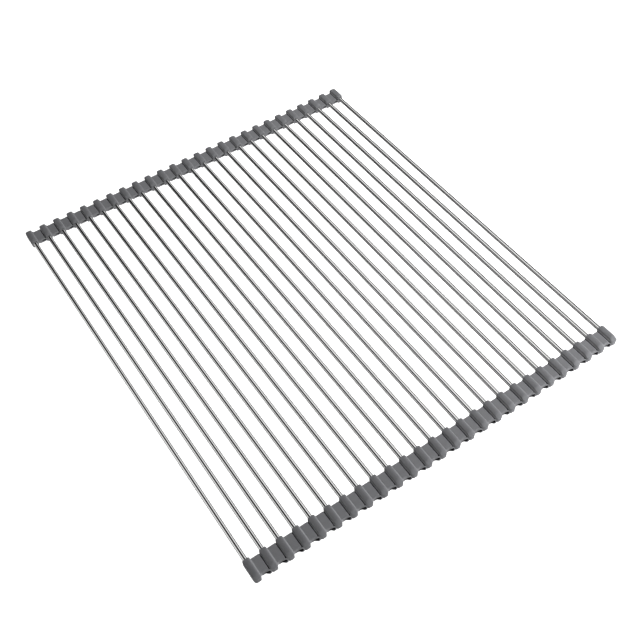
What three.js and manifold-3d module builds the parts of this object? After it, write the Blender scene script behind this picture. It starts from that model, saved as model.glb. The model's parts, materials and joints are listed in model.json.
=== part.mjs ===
// A roll up dish drying rack: a row of straight steel tubes, held at both ends by a rubbery strip.
// Each strip is a chain of links. A link has a raised sleeve round the end of each tube it holds and
// a thin web that reaches to the next sleeve, where the strip bends and the rack rolls up.
// Millimetres. X runs along the strips, Y along the tubes, Z is up, and the feet stand on Z = 0.
import * as THREE from "three";
import { mergeVertices } from "three/addons/utils/BufferGeometryUtils.js";
import Module from "manifold-3d";

// The whole rack
const rodCount = 26;
const rodPitch = 15;
const openSpan = 404; // clear length of a tube between the two strips

// Tubes
const rodDiameter = 4.2;
const rodWall = 0.5;
const rodSides = 12;

// Sleeves, the raised ridges that hold the tube ends
const fitClearance = 0.25; // all round a tube in its bore
const endClearance = 0.3; // between a tube's end and the bottom of its bore
const sleeveLength = 18.8;
const endWall = 3.2; // closes the outer end of a bore
const sideWall = 0.85; // rubber at each side of a bore
const topWall = 1.95; // rubber above a bore
const footWall = 2.25; // rubber below a bore, down to the surface that the rack stands on
const ridgeRadius = 2; // round shoulders along the top of a sleeve
const footBevel = 0.5;
const outerSlopeLength = 3.2; // the sloped face at the outer end of a ridge
const outerSlopeDrop = 2.8;
const innerSlopeLength = 2.4; // and at its inner end, where the tube comes out
const innerSlopeDrop = 1.7;
const innerCorner = 1.2; // the corners of a sleeve are cut off, seen from above
const outerCorner = 0.7;
const shoulderFacets = 3; // in each quarter round of an outline

// Webs, and the line where the strip bends
const webThickness = 2.4;
const webFillet = 2; // where a web runs up into the ridge before it
const archRadius = 1.2; // below a web, at the foot before it
const innerSetback = 1.2; // a web's edges lie a little inside the ends of the sleeves
const outerSetback = 1;
const knuckleRadius = 1.6; // the round end of a web
const reliefDiameter = 1.7; // the hole along it that lets the rubber bend
const hingeGap = 0.3; // between a round end and the seat that it turns in
const seatBite = 0.5; // how far the seat cuts into the side of the sleeve
const lipThickness = 0.6; // the thin floor under a round end
const lipReach = 0.65; // how far that floor goes past the bending line
const neckHeight = 1.3; // the skin that crosses a bend inside one link
const bendSides = 10; // facets of a round end and of its seat
const reliefSides = 6;

// Links: each holds two tubes, but one tube in the last of them, which roll up the tightest
const singleLinks = 8;

const overrun = 1; // how far a cutting shape passes the surface that it cuts
const bury = 0.4; // how far joined shapes go into each other
const weldDistance = 1e-4;

// What follows from these sizes
const boreRadius = rodDiameter / 2 + fitClearance;
const boreDepth = sleeveLength - endWall;
const halfSleeve = boreRadius + sideWall;
const rodHeight = footWall + boreRadius;
const ridgeTop = rodHeight + boreRadius + topWall;
const rodLength = openSpan + 2 * (boreDepth - endClearance);
const innerEnd = -openSpan / 2;
const outerEnd = innerEnd - sleeveLength;
const seatRadius = knuckleRadius + hingeGap;
const bendHeight = lipThickness + seatRadius;
const bendReach = halfSleeve + seatRadius - seatBite; // from a tube's axis back to its bending line
const webTop = bendHeight + knuckleRadius;
const webBottom = webTop - webThickness;
const right = Math.PI / 2;

const wasm = await Module();
wasm.setup();

function solidOf(geometry) {
  const bare = geometry.index ? geometry.toNonIndexed() : geometry.clone();
  bare.deleteAttribute("normal");
  bare.deleteAttribute("uv");
  const merged = mergeVertices(bare, weldDistance);
  return new wasm.Manifold(
    new wasm.Mesh({
      numProp: 3,
      vertProperties: merged.attributes.position.array,
      triVerts: new Uint32Array(merged.index.array),
    }),
  );
}

function geometryOf(solid) {
  const mesh = solid.getMesh();
  const geometry = new THREE.BufferGeometry();
  geometry.setAttribute("position", new THREE.BufferAttribute(mesh.vertProperties, 3));
  geometry.setIndex(new THREE.BufferAttribute(mesh.triVerts, 1));
  const flat = geometry.toNonIndexed();
  flat.computeVertexNormals();
  return flat;
}

const axisX = new THREE.Vector3(1, 0, 0);
const axisY = new THREE.Vector3(0, 1, 0);
const axisZ = new THREE.Vector3(0, 0, 1);

// An outline pushed along a line. The outline's own x and y point across and up.
function prism(shape, across, up, start, length) {
  const along = new THREE.Vector3().crossVectors(across, up);
  const geometry = new THREE.ExtrudeGeometry(shape, {
    depth: length,
    bevelEnabled: false,
    curveSegments: shoulderFacets / 2, // three.js draws twice as many on an arc
  });
  geometry.applyMatrix4(new THREE.Matrix4().makeBasis(across, up, along));
  geometry.translate(along.x * start, along.y * start, along.z * start);
  return solidOf(geometry);
}

function outline(points) {
  return new THREE.Shape(points.map(([x, y]) => new THREE.Vector2(x, y)));
}

// An outline drawn in X and Z, pushed through the whole depth of the near strip.
function throughStrip(shape) {
  return prism(shape, axisX, axisZ, -innerEnd, sleeveLength);
}

function roundBar(radius, sides, x, height, from, to) {
  const bar = new THREE.CylinderGeometry(radius, radius, to - from, sides);
  bar.translate(x, (from + to) / 2, height);
  return solidOf(bar);
}

function bendCut(radius, sides, bend) {
  return roundBar(radius, sides, bend, bendHeight, outerEnd - overrun, innerEnd + overrun);
}

function sleeveBlock(x) {
  const west = x - halfSleeve;
  const east = x + halfSleeve;
  const shoulder = ridgeTop - ridgeRadius;
  const shape = new THREE.Shape();
  shape.moveTo(west + footBevel, 0);
  shape.lineTo(east - footBevel, 0);
  shape.lineTo(east, footBevel);
  shape.lineTo(east, shoulder);
  shape.absarc(east - ridgeRadius, shoulder, ridgeRadius, 0, right, false);
  shape.lineTo(west + ridgeRadius, ridgeTop);
  shape.absarc(west + ridgeRadius, shoulder, ridgeRadius, right, 2 * right, false);
  shape.lineTo(west, footBevel);
  return throughStrip(shape);
}

// A sleeve whose side takes the round end of the web before it, over a thin hollowed floor.
function seatedSleeve(x) {
  const bend = x - bendReach;
  const inside = x - halfSleeve + footBevel + bury;
  const floor = outline([
    [bend - lipReach, 0],
    [inside, 0],
    [inside, bendHeight],
    [bend - lipReach, bendHeight],
  ]);
  return sleeveBlock(x).add(throughStrip(floor)).subtract(bendCut(seatRadius, bendSides, bend));
}

// The web after the sleeve at x, with its round end on the next bending line.
function web(x) {
  const east = x + halfSleeve;
  const bend = x + rodPitch - bendReach;
  const arch = Math.min(archRadius, webBottom / 2);
  const shape = new THREE.Shape();
  shape.moveTo(east - bury, webTop + webFillet);
  shape.lineTo(east - bury, webBottom - arch);
  shape.lineTo(east, webBottom - arch);
  shape.absarc(east + arch, webBottom - arch, arch, 2 * right, right, true);
  shape.lineTo(bend, webBottom);
  shape.lineTo(bend, webTop);
  shape.lineTo(east + webFillet, webTop);
  shape.absarc(east + webFillet, webTop + webFillet, webFillet, -right, -2 * right, true);
  return throughStrip(shape).add(roundBar(knuckleRadius, bendSides, bend, bendHeight, outerEnd, innerEnd));
}

// The skin that joins a web to the next sleeve of the same link.
function neck(bend) {
  const east = bend + seatRadius + bury;
  const low = bendHeight - neckHeight / 2;
  const high = bendHeight + neckHeight / 2;
  return throughStrip(outline([[bend, low], [east, low], [east, high], [bend, high]]));
}

// Cuts the edge of the web after the sleeve at x back from the sleeves' ends, and their corners off.
function edgeCut(x, end, outward, setback, corner) {
  const west = x + halfSleeve;
  const east = x + rodPitch - halfSleeve;
  const past = end + outward * overrun;
  const edge = end - outward * setback;
  const points = [
    [west - corner, past],
    [west - corner, end],
    [west, edge],
    [east, edge],
    [east + corner, end],
    [east + corner, past],
  ];
  return prism(outline(points), axisX, axisY, -overrun, ridgeTop + 2 * overrun);
}

// Slopes the tops of a link's ridges down towards one end of the sleeves.
function slopeCut(end, outward, length, drop, from, to) {
  const past = end + outward * overrun;
  const start = end - outward * length;
  const points = [
    [past, ridgeTop + overrun],
    [start, ridgeTop + overrun],
    [start, ridgeTop],
    [end, ridgeTop - drop],
    [past, ridgeTop - drop],
  ];
  return prism(outline(points), axisY, axisZ, from, to - from);
}

// A link of the near strip, with its first tube at X = 0.
function linkGeometry(rods, bendsBefore, bendsAfter) {
  const places = Array.from({ length: rods }, (_, i) => i * rodPitch);
  const webPlaces = bendsAfter ? places : places.slice(0, -1);
  let link = bendsBefore ? seatedSleeve(0) : sleeveBlock(0);
  for (const x of places.slice(1)) link = link.add(seatedSleeve(x)).add(neck(x - bendReach));
  for (const x of webPlaces) link = link.add(web(x));
  for (const x of webPlaces) {
    link = link.subtract(bendCut(reliefDiameter / 2, reliefSides, x + rodPitch - bendReach));
  }
  for (const x of places) {
    link = link.subtract(
      roundBar(boreRadius, rodSides, x, rodHeight, outerEnd + endWall, innerEnd + overrun),
    );
  }
  for (const x of [-rodPitch, ...places]) {
    link = link.subtract(edgeCut(x, innerEnd, 1, innerSetback, innerCorner));
    link = link.subtract(edgeCut(x, outerEnd, -1, outerSetback, outerCorner));
  }
  const from = -rodPitch;
  const to = rods * rodPitch;
  link = link.subtract(slopeCut(innerEnd, 1, innerSlopeLength, innerSlopeDrop, from, to));
  link = link.subtract(slopeCut(outerEnd, -1, outerSlopeLength, outerSlopeDrop, from, to));
  return geometryOf(link.asOriginal()); // joins the faces that lie in one plane
}

// A tube, open at both ends.
function rodGeometry() {
  const half = rodLength / 2;
  const outside = roundBar(rodDiameter / 2, rodSides, 0, 0, -half, half);
  const inside = roundBar(rodDiameter / 2 - rodWall, rodSides, 0, 0, -half - overrun, half + overrun);
  return geometryOf(outside.subtract(inside));
}

const steel = new THREE.MeshStandardMaterial({ color: 0xc9ccce, roughness: 0.22, metalness: 1 });
const rubber = new THREE.MeshStandardMaterial({ color: 0x5d5f63, roughness: 0.72, metalness: 0 });

const rack = new THREE.Group();
rack.name = "roll_up_drying_rack";

function place(name, geometry, material, x, height) {
  const mesh = new THREE.Mesh(geometry, material);
  mesh.name = name;
  mesh.position.set(x, 0, height);
  rack.add(mesh);
  return mesh;
}

const twoDigits = (n) => String(n).padStart(2, "0");
const rodPlace = (i) => (i - (rodCount - 1) / 2) * rodPitch;

const tube = rodGeometry();
for (let i = 0; i < rodCount; i += 1) {
  place(`rod_${twoDigits(i + 1)}`, tube, steel, rodPlace(i), rodHeight);
}

const linkShapes = new Map();
for (let first = 0, link = 1; first < rodCount; link += 1) {
  const rods = rodCount - first > singleLinks + 1 ? 2 : 1;
  const form = [rods, first > 0, first + rods < rodCount];
  const key = form.join();
  if (!linkShapes.has(key)) linkShapes.set(key, linkGeometry(...form));
  place(`near_link_${twoDigits(link)}`, linkShapes.get(key), rubber, rodPlace(first), 0);
  const far = place(`far_link_${twoDigits(link)}`, linkShapes.get(key), rubber, rodPlace(first), 0);
  far.scale.y = -1; // the far strip is the near one mirrored
  first += rods;
}

export default rack;
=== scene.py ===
import json
import math

import bmesh
import bpy
import numpy as np
from mathutils import Matrix, Vector
from mathutils.geometry import delaunay_2d_cdt


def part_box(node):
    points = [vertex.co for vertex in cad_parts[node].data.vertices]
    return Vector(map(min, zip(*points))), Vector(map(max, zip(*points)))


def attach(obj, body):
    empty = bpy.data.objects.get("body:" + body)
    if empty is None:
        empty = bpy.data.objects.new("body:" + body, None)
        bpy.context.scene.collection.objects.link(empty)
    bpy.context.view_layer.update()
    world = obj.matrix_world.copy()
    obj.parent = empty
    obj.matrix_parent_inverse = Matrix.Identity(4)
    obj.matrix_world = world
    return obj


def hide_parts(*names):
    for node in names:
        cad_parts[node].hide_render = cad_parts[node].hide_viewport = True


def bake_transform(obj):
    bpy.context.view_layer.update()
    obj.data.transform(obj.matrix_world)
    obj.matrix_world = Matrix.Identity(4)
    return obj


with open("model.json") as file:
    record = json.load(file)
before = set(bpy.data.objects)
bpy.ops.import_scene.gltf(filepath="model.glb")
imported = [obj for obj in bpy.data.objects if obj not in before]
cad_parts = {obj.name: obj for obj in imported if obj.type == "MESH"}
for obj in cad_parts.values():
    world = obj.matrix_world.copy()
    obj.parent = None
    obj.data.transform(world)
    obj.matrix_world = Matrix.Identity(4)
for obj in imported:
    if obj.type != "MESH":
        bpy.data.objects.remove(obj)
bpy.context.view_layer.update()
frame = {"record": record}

# The view. The rack lies flat and is seen from above its near left corner, with a short telephoto lens
# that is turned a little about its own axis.
mm = 0.001
eye = Vector((-264.85, -453.13, 636.66)) * mm
aim = Vector((-9.0, -42.7, 0.0)) * mm
roll = math.radians(-3.26)
lens = 48.41
film_width = 36.0
nearest = 10 * mm
farthest = 100000 * mm

camera_data = bpy.data.cameras.new("camera")
camera_data.lens = lens
camera_data.sensor_width = film_width
camera_data.clip_start = nearest
camera_data.clip_end = farthest
camera = bpy.data.objects.new("camera", camera_data)
bpy.context.scene.collection.objects.link(camera)
upright = (aim - eye).to_track_quat("-Z", "Y").to_matrix()
camera.matrix_world = Matrix.Translation(eye) @ (upright @ Matrix.Rotation(roll, 3, "Z")).to_4x4()
bpy.context.scene.camera = camera

# The floor and the light. The rack lies on plain white paper, under a large soft light high on the right
# and a small one low in front, in an evenly grey room. None of them shows in a reflection.
floor_size = 8000 * mm
floor_drop = 0.05 * mm
floor_shade = 0.92
floor_mottle = 0.02
mottle_scale = 3.0
floor_roughness = 0.9
floor_gloss = 0.1
floor_glow = 0.45
room_shade = 0.26
white = (1.0, 1.0, 1.0, 1.0)
black = (0.0, 0.0, 0.0, 1.0)


class Wire:
    """A socket of a node tree. An expression on it adds Math nodes, and node() adds any other node."""

    def __init__(self, tree, socket=None):
        self.tree = tree
        self.socket = socket

    def node(self, kind, settings=None, inputs=None, out=0):
        """Adds a node. Settings are set first, then its sockets get values or links by name or place."""
        made = self.tree.nodes.new(kind)
        for name, value in (settings or {}).items():
            if name == "stops":
                self.set_stops(made.color_ramp, value)
            else:
                setattr(made, name, value)
        for name, value in (inputs or {}).items():
            if isinstance(value, Wire):
                self.tree.links.new(value.socket, made.inputs[name])
            else:
                made.inputs[name].default_value = value
        return Wire(self.tree, made.outputs[out])

    @staticmethod
    def set_stops(ramp, stops):
        """Gives a colour ramp its stops, each a place and a shade of grey."""
        while len(ramp.elements) < len(stops):
            ramp.elements.new(1.0)
        for element, (place, shade) in zip(ramp.elements, stops):
            element.position = place
            element.color = (shade, shade, shade, 1.0)

    def output(self, name):
        """Another output of the same node."""
        return Wire(self.tree, self.socket.node.outputs[name])

    def maths(self, operation, first, second):
        """A Math node on two values."""
        return self.node("ShaderNodeMath", {"operation": operation}, {0: first, 1: second})

    def __add__(self, other):
        return self.maths("ADD", self, other)

    def __radd__(self, other):
        return self.maths("ADD", other, self)

    def __sub__(self, other):
        return self.maths("SUBTRACT", self, other)

    def __rsub__(self, other):
        return self.maths("SUBTRACT", other, self)

    def __mul__(self, other):
        return self.maths("MULTIPLY", self, other)

    def __rmul__(self, other):
        return self.maths("MULTIPLY", other, self)

    def __truediv__(self, other):
        return self.maths("DIVIDE", self, other)

    def __rtruediv__(self, other):
        return self.maths("DIVIDE", other, self)


def new_material(name):
    """A material, a Wire with its Object coordinates, and the sockets of its shader."""
    material = bpy.data.materials.new(name)
    material.use_nodes = True
    tree = material.node_tree
    place = Wire(tree).node("ShaderNodeTexCoord", out="Object")
    return material, place, tree.nodes["Principled BSDF"].inputs


def feed(wire, socket):
    """Links a Wire into a socket."""
    wire.tree.links.new(wire.socket, socket)


def fix(shader, values):
    """Sets the sockets of a shader that are the same all over."""
    for name, value in values.items():
        shader[name].default_value = value


def noise(place, scale, detail, stretch=None):
    """A noise over a surface, which may be stretched by its own scale on each axis."""
    if stretch:
        place = place.node("ShaderNodeMapping", {}, {"Vector": place, "Scale": stretch})
    return place.node("ShaderNodeTexNoise", {}, {"Vector": place, "Scale": scale, "Detail": detail})


def new_object(name, vertices, faces, material):
    """A mesh object with one material."""
    mesh = bpy.data.meshes.new(name)
    mesh.from_pydata(vertices, [], faces)
    mesh.materials.append(material)
    made = bpy.data.objects.new(name, mesh)
    bpy.context.scene.collection.objects.link(made)
    return made


def floor_sheet(name, height, material):
    """A level square as large as the floor."""
    half = floor_size / 2
    corners = [(x * half, y * half, height) for x, y in ((-1, -1), (1, -1), (1, 1), (-1, 1))]
    return new_object(name, corners, [(0, 1, 2, 3)], material)


def soft_light(name, place, aim, width, height, watts):
    """A rectangular light that shows neither to the camera nor in a reflection."""
    data = bpy.data.lights.new(name, "AREA")
    data.shape = "RECTANGLE"
    data.size = width
    data.size_y = height
    data.energy = watts
    made = bpy.data.objects.new(name, data)
    made.location = place
    made.rotation_euler = (aim - place).to_track_quat("-Z", "Y").to_euler()
    made.visible_camera = False
    made.visible_glossy = False
    bpy.context.scene.collection.objects.link(made)


floor_paper, place, shader = new_material("floor_paper")
mottle = noise(place, mottle_scale, detail=2.0)
stops = [(0.3, floor_shade), (0.7, floor_shade + floor_mottle)]
feed(mottle.node("ShaderNodeValToRGB", {"stops": stops}, {"Fac": mottle}), shader["Base Color"])
fix(shader, {
    "Roughness": floor_roughness,
    "Specular IOR Level": floor_gloss,
    "Emission Color": white,
    "Emission Strength": floor_glow,
})
floor = floor_sheet("floor", -floor_drop, floor_paper)
floor.visible_glossy = False

world = bpy.data.worlds.new("studio")
world.use_nodes = True
fix(world.node_tree.nodes["Background"].inputs, {"Color": (room_shade, room_shade, room_shade, 1.0)})
bpy.context.scene.world = world
world.cycles_visibility.glossy = False
bpy.context.scene.view_settings.view_transform = "Standard"

# The tubes' bright and dark lines are one pixel wide, and a filter ahead of the denoiser would blur them.
bpy.context.scene.cycles.denoising_prefilter = "NONE"

soft_light(
    "right_light",
    place=Vector((1000, 100, 900)) * mm,
    aim=Vector((0, 0, 0)),
    width=800 * mm,
    height=800 * mm,
    watts=24.0,
)
soft_light(
    "low_light",
    place=Vector((450, -600, 90)) * mm,
    aim=Vector((100, -200, 0)) * mm,
    width=240 * mm,
    height=140 * mm,
    watts=5.4,
)

# What the steel mirrors. Polished tubes show a half-round tent of white cloth with a dark gap along it and
# a dark skirt on the right, and a glowing copy of the floor with each tube's shadow painted dark beside it,
# pale between two tubes and painted darker towards the right. Both show in reflections alone.
first_low, first_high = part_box("rod_01")
first_middle = (first_low.x + first_high.x) / 2
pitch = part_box("rod_02")[0].x - first_low.x
# The painted shadows beside the tubes, and the painted fall from pale on the left to dark on the right.
shade_start = 3.2 * mm
shade_end = 6.2 * mm
painted_shadow_level = 0.02
left_paper_shade = 0.85
right_paper_shade = 0.28
half_fall = 120 * mm
tent_radius = 300 * mm
tent_reach = 3500 * mm
tent_sides = 90
gap_angle = math.radians(-38)
gap_width = math.radians(38)
gap_growth = math.radians(150)
gap_growth_limit = math.radians(32)
skirt_angle = math.radians(54)
skirt_fade = math.radians(6)
skirt_shade = 0.04


def change(value, start, end, first, last, smooth=False):
    """Goes from the first level to the last one, while a value goes from a start to an end."""
    kind = "SMOOTHSTEP" if smooth else "LINEAR"
    inputs = {"Value": value, "From Min": start, "From Max": end, "To Min": first, "To Max": last}
    return value.node("ShaderNodeMapRange", {"interpolation_type": kind}, inputs)


def mixed(red, green, blue):
    """A colour from its three channels."""
    return red.node("ShaderNodeCombineColor", {}, {"Red": red, "Green": green, "Blue": blue})


def shine_alone(shader, level):
    """Lets a surface shine with a shade of grey and throw nothing back."""
    feed(mixed(level, level, level), shader["Emission Color"])
    fix(shader, {"Emission Strength": 1.0, "Base Color": black, "Roughness": 1.0, "Specular IOR Level": 0.0})


def for_steel_only(made):
    """Leaves an object to the reflections alone."""
    made.visible_camera = False
    made.visible_diffuse = False
    made.visible_shadow = False
    made.visible_transmission = False


# A glowing sheet under the floor, with each tube's shadow painted on it.
painted_shadow_sheet, place, shader = new_material("painted_shadow_sheet")
across = place.node("ShaderNodeSeparateXYZ", {}, {"Vector": place}, out="X")
from_tube = across.maths("PINGPONG", across - first_middle, pitch / 2)
open_paper = change(across, -half_fall, half_fall, left_paper_shade, right_paper_shade)
shine_alone(shader, change(from_tube, shade_start, shade_end, painted_shadow_level, open_paper, smooth=True))
for_steel_only(floor_sheet("painted_shadow_floor", -floor_drop * 2, painted_shadow_sheet))

tent_cloth, place, shader = new_material("tent_cloth")
across = place.node("ShaderNodeSeparateXYZ", {}, {"Vector": place}, out="X")
along = across.output("Y")
turned = across.maths("ARCTAN2", across, across.output("Z")) - gap_angle
half_gap = gap_width + across.maths("MINIMUM", along * along * gap_growth, gap_growth_limit)
share = turned / half_gap
squared = share * share
gap = across.maths("MINIMUM", squared * squared, 1.0)
skirt_start = skirt_angle - gap_angle
skirt = change(turned, skirt_start, skirt_start + skirt_fade, 1.0, skirt_shade)
shine_alone(shader, gap * skirt)
tent_turns = [math.pi * i / tent_sides - math.pi / 2 for i in range(tent_sides + 1)]
tent_rim = [(tent_radius * math.sin(turn), tent_radius * math.cos(turn)) for turn in tent_turns]
for_steel_only(new_object(
    "light_tent",
    [(x, y, z) for x, z in tent_rim for y in (-tent_reach, tent_reach)],
    [(2 * i, 2 * i + 1, 2 * i + 3, 2 * i + 2) for i in range(tent_sides)],
    tent_cloth,
))

# The tubes. Each is thin-walled stainless tube, drawn, polished and cut to length. It is pushed into a
# sleeve of the rubber strips at both ends and stays there by its tight fit.
tube_wall = 0.5 * mm
tube_edge = 0.12 * mm
tube_sides = 40
tube_crease = math.radians(25)
steel_shade = 0.76
steel_blue = 0.995
steel_roughness = 0.03
streak_stretch = (3000.0, 14.0, 3000.0)
streak_shade = 0.06
streak_roughness = 0.03
streak_strength = 0.08
streak_depth = 0.02 * mm
patch_stretch = (66.7, 9.0, 66.7)
patch_shade = 0.06
patch_roughness = 0.02


def bumps(height, strength, distance):
    """A fine relief on a surface, as a Wire for the shader's Normal socket."""
    return height.node("ShaderNodeBump", {}, {"Strength": strength, "Distance": distance, "Height": height})


def node_tree(name, sockets):
    """A Geometry Nodes tree with named inputs: the tree, a Wire to build on, and a Wire for each input."""
    tree = bpy.data.node_groups.new(name, "GeometryNodeTree")
    tree.interface.new_socket(name="Geometry", in_out="OUTPUT", socket_type="NodeSocketGeometry")
    for label, kind in sockets.items():
        tree.interface.new_socket(name=label, in_out="INPUT", socket_type=kind)
    entry = tree.nodes.new("NodeGroupInput")
    return tree, Wire(tree), {label: Wire(tree, entry.outputs[label]) for label in sockets}


def finish_tree(tree, geometry, material):
    """Ends a tree with plain geometry in one material."""
    plain = geometry.node("GeometryNodeRealizeInstances", {}, {"Geometry": geometry})
    dressed = plain.node("GeometryNodeSetMaterial", {}, {"Geometry": plain, "Material": material})
    feed(dressed, tree.nodes.new("NodeGroupOutput").inputs["Geometry"])


def grown(name, mesh, tree, values):
    """A plain mesh object of what a tree makes of a mesh, with these values of the tree's inputs."""
    carrier = bpy.data.objects.new(name + "_seed", mesh)
    bpy.context.scene.collection.objects.link(carrier)
    modifier = carrier.modifiers.new(tree.name, "NODES")
    modifier.node_group = tree
    for item in tree.interface.items_tree:
        if item.item_type == "SOCKET" and item.in_out == "INPUT" and item.name in values:
            modifier[item.identifier] = values[item.name]
    evaluated = carrier.evaluated_get(bpy.context.evaluated_depsgraph_get())
    made_mesh = bpy.data.meshes.new_from_object(evaluated)
    bpy.data.objects.remove(carrier)
    made_mesh.name = name
    made = bpy.data.objects.new(name, made_mesh)
    bpy.context.scene.collection.objects.link(made)
    return made


steel, place, shader = new_material("polished_steel")
streaks = noise(place, scale=1.0, detail=3.0, stretch=streak_stretch)
patches = noise(place, scale=1.0, detail=2.0, stretch=patch_stretch)
shade = steel_shade + streaks * streak_shade + patches * patch_shade
feed(mixed(shade, shade, shade * steel_blue), shader["Base Color"])
feed(steel_roughness + streaks * streak_roughness + patches * patch_roughness, shader["Roughness"])
feed(bumps(streaks, streak_strength, streak_depth), shader["Normal"])
fix(shader, {"Metallic": 1.0})

tube_tree, start, given = node_tree("drawn_tube", {
    "Length": "NodeSocketFloat",
    "Radius": "NodeSocketFloat",
    "Wall": "NodeSocketFloat",
    "Edge": "NodeSocketFloat",
    "Place": "NodeSocketVector",
})
ring = start.node("GeometryNodeCurvePrimitiveCircle", {}, {
    "Resolution": tube_sides,
    "Radius": given["Radius"] - given["Wall"] * 0.5,
})
section = start.node("GeometryNodeCurvePrimitiveQuadrilateral", {}, {
    "Width": given["Wall"],
    "Height": given["Length"],
})
section = start.node("GeometryNodeFilletCurve", {}, {"Curve": section, "Radius": given["Edge"]})
wall = start.node("GeometryNodeCurveToMesh", {}, {"Curve": ring, "Profile Curve": section})
wall = start.node("GeometryNodeTransform", {}, {
    "Geometry": wall,
    "Rotation": (math.pi / 2, 0.0, 0.0),
    "Translation": given["Place"],
})
finish_tree(tube_tree, wall, steel)

bodies = frame["record"]["behaviour"]["bodies"]
tubes = {body: [node for node in nodes if node.startswith("rod")] for body, nodes in bodies.items()}
for body, nodes in tubes.items():
    for node in nodes:
        low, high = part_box(node)
        tube = grown(node + "_tube", bpy.data.meshes.new("seed"), tube_tree, {
            "Length": high.y - low.y,
            "Radius": (high.x - low.x) / 2,
            "Wall": tube_wall,
            "Edge": tube_edge,
            "Place": (low + high) / 2,
        })
        tube.data.shade_smooth()
        tube.data.set_sharp_from_angle(angle=tube_crease)
        tube.visible_shadow = False
        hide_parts(node)
        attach(tube, body)

# The strips. Each is one moulding of soft grey rubber: a ridged sleeve round the end of every tube, and a
# thin web from each sleeve to the next, with a hole along it where the strip bends. The tubes are pushed
# into the sleeves, and nothing else holds them.
strip_low, strip_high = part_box("near_link_02")
last_low, last_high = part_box("rod_26")
last_sleeve_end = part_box("near_link_17")[1].x
tube_height = (last_low.z + last_high.z) / 2
tube_radius = (last_high.x - last_low.x) / 2
half_sleeve = last_sleeve_end - (last_low.x + last_high.x) / 2
ridge_top = strip_high.z
inner_end = strip_high.y
outer_end = strip_low.y
bend_height = 2.5 * mm

# The outline of a sleeve and its web, as it is seen from the outer end of the near strip.
foot_round = 1.0 * mm
right_shoulder = 1.4 * mm
left_shoulder = 1.0 * mm
crown_fall = 0.55 * mm
crown_steps = 8
web_top = 5.2 * mm
web_bottom = 1.5 * mm
web_fillet = 0.9 * mm
web_bury = 0.4 * mm
arch_round = 0.8 * mm
lip_start = 0.9 * mm
lip_slope = 1.0 * mm
lip_bulge = 0.6
lip_bottom = 0.4 * mm
lip_top = 1.2 * mm
groove_width = 0.9 * mm
groove_depth = 1.1 * mm
groove_round = 0.15 * mm
point_step = 0.55 * mm
same_point = 0.0001 * mm

# The hole along each web, which is drawn out to a point, and the bore that takes the tube.
hole_place = pitch - 4.7 * mm
hole_radius = 1.3 * mm
hole_squash = 0.62
hole_tail = 4.6 * mm
hole_sides = 24
tail_turn = -0.6
bore_clearance = 0.2 * mm
bore_depth = 15.6 * mm
bore_sides = 32
rim_round = 0.12 * mm

# The ends of the strip: how they round off, lie back and slope down along a sleeve and along a web.
outer_round = 0.5 * mm
inner_round = 0.3 * mm
edge_steps = 4
outer_slope = 3.9 * mm
outer_drop = 2.8 * mm
inner_slope = 2.4 * mm
inner_drop = 1.0 * mm
left_corner = 2.8 * mm
right_corner = 1.4 * mm
inner_corner = 1.1 * mm
outer_setback = 0.3 * mm
inner_setback = 1.2 * mm
notch_width = 0.4 * mm
web_slant = 3.0 * mm
scallop_depth = 2.2 * mm
scallop_start = 4.2 * mm
scallop_end = 7.4 * mm
outer_rows = (0.45, 0.8, 1.05, 1.5)
middle_rows = (0.4, 0.6)
inner_rows = (1.6, 1.1, 0.8, 0.45)
cap_step = 0.7 * mm
inside_without_holes = 2
cap_tolerance = 1e-9

# The look of the rubber: shade painted darker into its colour inside the holes and the grooves, where
# the rubber throws no real shadow on itself, and a duller finish there.
rubber_crease = math.radians(38)
rubber_shade = 0.115
rubber_green = 1.01
rubber_blue = 1.06
rubber_roughness = 0.5
rubber_gloss = 0.5
grain_scale = 2600.0
grain_shade = 0.012
grain_roughness = 0.08
grain_strength = 0.25
grain_depth = 0.03 * mm
cloud_scale = 60.0
cloud_shade = 0.02
cloud_roughness = 0.12
painted_shade_reach = 1.1
painted_shade_rise = 0.4
painted_shade_dark = 0.97
shelter_roughness = 0.3


def arc(centre, radius, start, end, steps):
    """Points on an arc from one angle in degrees to another."""
    angles = np.radians(np.linspace(start, end, steps + 1))
    return [(centre[0] + radius * math.cos(a), centre[1] + radius * math.sin(a)) for a in angles]


def even(points):
    """A closed outline with its long sides cut into short steps."""
    found = []
    for a, b in zip(points, points[1:] + points[:1]):
        a, b = np.array(a), np.array(b)
        length = np.linalg.norm(b - a)
        if length < same_point:
            continue
        steps = max(1, round(length / point_step))
        found += [a + (b - a) * i / steps for i in range(steps)]
    return np.array(found)


def crown_height(x, first, last):
    """The height of the ridge at x, which falls ever faster from its first point to its last one."""
    return ridge_top - crown_fall * ((x - first) / (last - first)) ** 2


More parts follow.
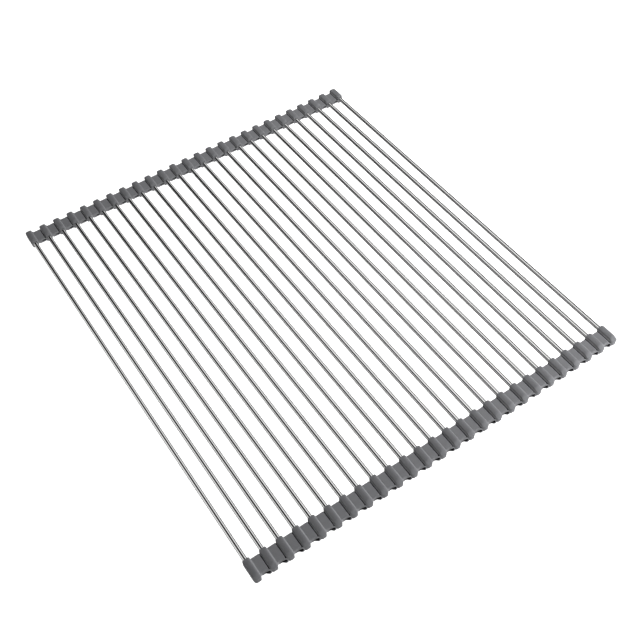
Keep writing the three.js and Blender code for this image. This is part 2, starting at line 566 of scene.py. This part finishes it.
def moulding_outline(with_web):
    """The outline across the tubes of a sleeve at X = 0 and the web on its right."""
    half, foot = half_sleeve, foot_round
    points = arc((-half + foot, foot), foot, 180, 270, 3)
    points += arc((half - foot, foot), foot, 270, 360, 3)
    if with_web:
        web_end = pitch - half + web_bury
        lip = half + lip_start
        groove = pitch - half - groove_width
        groove_floor = web_top - groove_depth
        points += arc((half + arch_round, web_bottom - arch_round), arch_round, 180, 90, 4)
        points += [(lip, web_bottom), (lip + lip_slope * lip_bulge, (web_bottom + lip_bottom) / 2)]
        points += [(lip + lip_slope, lip_bottom), (web_end, lip_bottom), (web_end, groove_floor)]
        points += [(groove + groove_round, groove_floor), (groove, groove_floor + groove_round)]
        points += arc((groove - groove_round, web_top - groove_round), groove_round, 0, 90, 3)
        points += arc((half + web_fillet, web_top + web_fillet), web_fillet, 270, 180, 6)
    points += arc((half - right_shoulder, ridge_top - right_shoulder), right_shoulder, 0, 80, 7)
    crown_end = left_shoulder - half
    crown = np.linspace(half - right_shoulder, crown_end, crown_steps + 1)[1:]
    points += [(x, crown_height(x, crown[0], crown_end)) for x in crown]
    points += arc((crown_end, ridge_top - crown_fall - left_shoulder), left_shoulder, 70, 180, 5)
    return even(points)


def round_outline(x, height, radius, sides, squash=1.0, tail=0.0):
    """A round or flattened hole, drawn out to a point on its left if it has a tail."""
    angles = np.linspace(0, 2 * math.pi, sides, endpoint=False)
    if tail:
        angles = [a for a in angles if math.cos(a) > tail_turn]
    points = [(x + radius * math.cos(a), height + radius * squash * math.sin(a)) for a in angles]
    if tail:
        points.insert(sum(1 for a in angles if a < math.pi), (x - tail, height))
    return np.array(points)


def inset(outline, amount):
    """The outline moved inwards along its own normals."""
    ahead = np.roll(outline, -1, 0) - outline
    behind = outline - np.roll(outline, 1, 0)
    ahead /= np.linalg.norm(ahead, axis=1)[:, None]
    behind /= np.linalg.norm(behind, axis=1)[:, None]
    tangent = ahead + behind
    tangent /= np.linalg.norm(tangent, axis=1)[:, None]
    return outline + np.stack([-tangent[:, 1], tangent[:, 0]], 1) * amount


def past_sleeve(x, width):
    """How far x lies past the right flank of the sleeve, as a share of a width."""
    return np.clip((x - half_sleeve) / width, 0, 1)


def recess(x, left, right, setback):
    """How far the end of the strip lies back at x: round corners on a sleeve, and a web set back."""
    corner = np.where(x < 0, left, right)
    into = np.clip((np.abs(x) - (half_sleeve - corner)) / corner, 0, 1)
    cut = corner * (1 - np.sqrt(1 - into**2))
    return np.where(x > half_sleeve, corner + (setback - corner) * past_sleeve(x, notch_width), cut)


def scallop(x):
    """How far the lip of the web curves back between a sleeve and the hole beside the next one."""
    share = np.clip((x - half_sleeve - scallop_start) / (scallop_end - scallop_start), 0, 1)
    return scallop_depth * past_sleeve(x, notch_width) * (1 - share * share * (3 - 2 * share))


def slant(x, z):
    """How much further back the top of the web ends than its lower lip."""
    depth = web_slant * past_sleeve(x, right_corner) - scallop(x)
    return depth * np.clip((z - lip_top) / (web_top - lip_top), 0, 1)


def in_groove(x, z):
    """How far a point lies inside the groove beside the next sleeve, from nought to one: how much shade is
    painted there.
    """
    beside = np.where(x < 0, x + pitch, x) - (pitch - half_sleeve)
    near = np.abs(beside + groove_width / 2) < groove_width / 2 + groove_round
    high = z > web_top - groove_depth * painted_shade_reach
    return np.where(near & high, np.clip((web_top - z) / (groove_depth * painted_shade_rise), 0, 1), 0.0)


def lowered(z, y):
    """Heights above the web, scaled down where the ridge slopes towards the ends of its sleeve."""
    ends = ((y - outer_end, outer_slope, outer_drop), (inner_end - y, inner_slope, inner_drop))
    share = np.ones_like(z)
    for distance, length, drop in ends:
        share -= drop / (ridge_top - web_top) * np.clip(1 - distance / length, 0, 1)
    return np.where(z > web_top, web_top + (z - web_top) * share, z)


def placed(outline, outer, offset):
    """An outline at an offset inwards from the strip's outer or inner end, as points of the mesh."""
    x, z = outline[:, 0], outline[:, 1]
    if outer:
        back = recess(x, left_corner, right_corner, outer_setback) + scallop(x) + slant(x, z)
        y = outer_end + back + offset
    else:
        y = inner_end - recess(x, inner_corner, inner_corner, inner_setback) - offset
    return np.stack([x, y, lowered(z, y)], 1)


def straight(outline, y):
    """An outline square across the strip at y, as points of the mesh."""
    return np.stack([outline[:, 0], np.full(len(outline), y), outline[:, 1]], 1)


def rounded_edge(outline, outer, radius):
    """Rows of points round the edge of an end, from its flat face to the outside of the strip."""
    rows = []
    for turn in np.linspace(0, math.pi / 2, edge_steps + 1):
        edge = inset(outline, radius * (1 - math.sin(turn)))
        rows.append(placed(edge, outer, radius * (1 - math.cos(turn))))
    return rows


def skin_rows(outline):
    """Rows of points along the outside of a moulding, from its outer end to its inner end."""
    rows = rounded_edge(outline, True, outer_round)
    rows += [placed(outline, True, outer_slope * share) for share in outer_rows]
    rows += [straight(outline, outer_end + (inner_end - outer_end) * share) for share in middle_rows]
    rows += [placed(outline, False, inner_slope * share) for share in inner_rows]
    return rows + rounded_edge(outline, False, inner_round)[::-1]


class Shell:
    """A closed mesh as it grows: its points, how much shade is painted on each, and its faces."""

    def __init__(self):
        self.points = []
        self.shade_paint = []
        self.faces = []

    def add(self, points, inside_hole=False):
        """Adds points and returns their numbers, with full painted shade inside a hole and some in a groove.
        """
        first = len(self.points)
        self.points += [tuple(point) for point in points]
        self.shade_paint += [1.0] * len(points) if inside_hole else list(in_groove(points[:, 0], points[:, 2]))
        return list(range(first, len(self.points)))

    def join(self, rows):
        """Joins each closed row of points to the next one."""
        for a, b in zip(rows, rows[1:]):
            for i in range(len(a)):
                j = (i + 1) % len(a)
                self.faces.append((a[i], a[j], b[j], b[i]))

    def close(self, loops, outer):
        """Closes an end between its border and its holes, each given as point numbers and outline."""
        known = [number for numbers, _ in loops for number in numbers]
        edges = np.concatenate([outline for _, outline in loops])
        low, high = loops[0][1].min(0), loops[0][1].max(0)
        columns, levels = (np.arange(a, b, cap_step) for a, b in zip(low, high))
        grid = np.stack(np.meshgrid(columns, levels), 2).reshape(-1, 2)
        gaps = np.linalg.norm(grid[:, None] - edges[None], axis=2).min(axis=1)
        rings = []
        first = 0
        for numbers, _ in loops:
            rings.append(list(range(first, first + len(numbers))))
            first += len(numbers)
        points = [Vector(point) for point in edges] + [Vector(point) for point in grid[gaps > cap_step / 2]]
        found, _, triangles, sources, _, _ = delaunay_2d_cdt(
            points, [], rings, inside_without_holes, cap_tolerance)
        index = {}
        for number, source in enumerate(sources):
            if source and source[0] < len(known):
                index[number] = known[source[0]]
            else:
                index[number] = self.add(placed(np.array([found[number]]), outer, 0))[0]
        self.faces.extend(tuple(index[corner] for corner in triangle) for triangle in triangles)

    def mesh(self, name):
        """The mesh, sealed, with its normals outwards and its sharp edges marked."""
        made = bpy.data.meshes.new(name)
        made.from_pydata(self.points, [], self.faces)
        # How much shade is painted on each point, which darkens the rubber's colour.
        made.attributes.new("sheltered", "FLOAT", "POINT").data.foreach_set("value", self.shade_paint)
        work = bmesh.new()
        work.from_mesh(made)
        bmesh.ops.remove_doubles(work, verts=work.verts, dist=same_point)
        loose = [vertex for vertex in work.verts if not vertex.link_faces]
        bmesh.ops.delete(work, geom=loose, context="VERTS")
        bmesh.ops.recalc_face_normals(work, faces=work.faces)
        work.to_mesh(made)
        work.free()
        made.shade_smooth()
        made.set_sharp_from_angle(angle=rubber_crease)
        return made


def moulding(name, with_web):
    """One sleeve with or without its web, as a closed mesh for a tube at X = 0 of the near strip."""
    outline = moulding_outline(with_web)
    shell = Shell()
    skin = [shell.add(row) for row in skin_rows(outline)]
    shell.join(skin)
    outer_loops = [(skin[0], inset(outline, outer_round))]
    inner_loops = [(skin[-1], inset(outline, inner_round))]
    if with_web:
        hole_mouth = round_outline(hole_place, bend_height, hole_radius + rim_round, hole_sides,
                                   squash=hole_squash, tail=hole_tail + rim_round)
        hole_wall = round_outline(hole_place, bend_height, hole_radius, hole_sides,
                                  squash=hole_squash, tail=hole_tail)
        hole = [
            shell.add(placed(hole_mouth, True, 0)),
            shell.add(placed(hole_wall, True, rim_round), inside_hole=True),
            shell.add(placed(hole_wall, False, rim_round), inside_hole=True),
            shell.add(placed(hole_mouth, False, 0)),
        ]
        shell.join(hole)
        outer_loops.append((hole[0], hole_mouth))
        inner_loops.append((hole[-1], hole_mouth))
    bore_radius = tube_radius + bore_clearance
    bore_mouth = round_outline(0, tube_height, bore_radius + rim_round, bore_sides)
    bore_wall = round_outline(0, tube_height, bore_radius, bore_sides)
    bore = [
        shell.add(placed(bore_mouth, False, 0)),
        shell.add(placed(bore_wall, False, rim_round)),
        shell.add(straight(bore_wall, inner_end - bore_depth)),
    ]
    shell.join(bore)
    shell.faces.append(tuple(bore[-1]))
    inner_loops.append((bore[0], bore_mouth))
    shell.close(outer_loops, True)
    shell.close(inner_loops, False)
    return shell.mesh(name)


rubber, place, shader = new_material("grey_rubber")
grain = noise(place, grain_scale, detail=3.0)
cloud = noise(place, cloud_scale, detail=4.0)
# Shade painted into the colour: the rubber goes almost black inside the holes and the grooves.
sheltered = place.node("ShaderNodeAttribute", {"attribute_name": "sheltered"}, out="Fac")
shade = (rubber_shade + cloud * cloud_shade + grain * grain_shade) * (1 - sheltered * painted_shade_dark)
feed(mixed(shade, shade * rubber_green, shade * rubber_blue), shader["Base Color"])
roughness = rubber_roughness + cloud * cloud_roughness + grain * grain_roughness
feed(roughness + sheltered * shelter_roughness, shader["Roughness"])
feed(bumps(grain, grain_strength, grain_depth), shader["Normal"])
fix(shader, {"Specular IOR Level": rubber_gloss})

strip_tree, start, given = node_tree("moulded_strip", {
    "Moulding": "NodeSocketGeometry",
    "Sleeves": "NodeSocketInt",
    "Pitch": "NodeSocketFloat",
    "First sleeve": "NodeSocketVector",
    "Side": "NodeSocketVector",
})
step = start.node("ShaderNodeCombineXYZ", {}, {"X": given["Pitch"]})
line = start.node("GeometryNodeMeshLine", {"mode": "OFFSET"}, {
    "Count": given["Sleeves"],
    "Start Location": given["First sleeve"],
    "Offset": step,
})
strip = start.node("GeometryNodeInstanceOnPoints", {}, {"Points": line, "Instance": given["Moulding"]})
strip = start.node("GeometryNodeTransform", {}, {"Geometry": strip, "Scale": given["Side"]})
finish_tree(strip_tree, strip, rubber)

sleeve_and_web = moulding("sleeve_and_web", True)
end_sleeve = moulding("end_sleeve", False)
last_body = list(bodies)[-1]
for body, nodes in bodies.items():
    low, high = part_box(tubes[body][0])
    for side, mirror in (("near", 1.0), ("far", -1.0)):
        node = next(name for name in nodes if name.startswith(side))
        piece = grown(node + "_rubber", end_sleeve if body == last_body else sleeve_and_web, strip_tree, {
            "Sleeves": len(tubes[body]),
            "Pitch": pitch,
            "First sleeve": ((low.x + high.x) / 2, 0.0, 0.0),
            "Side": (1.0, mirror, 1.0),
        })
        if mirror < 0:
            piece.data.flip_normals()
        piece.visible_shadow = False
        piece.visible_diffuse = False
        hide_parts(node)
        if body == last_body:
            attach(piece, body)
        else:
            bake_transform(piece)
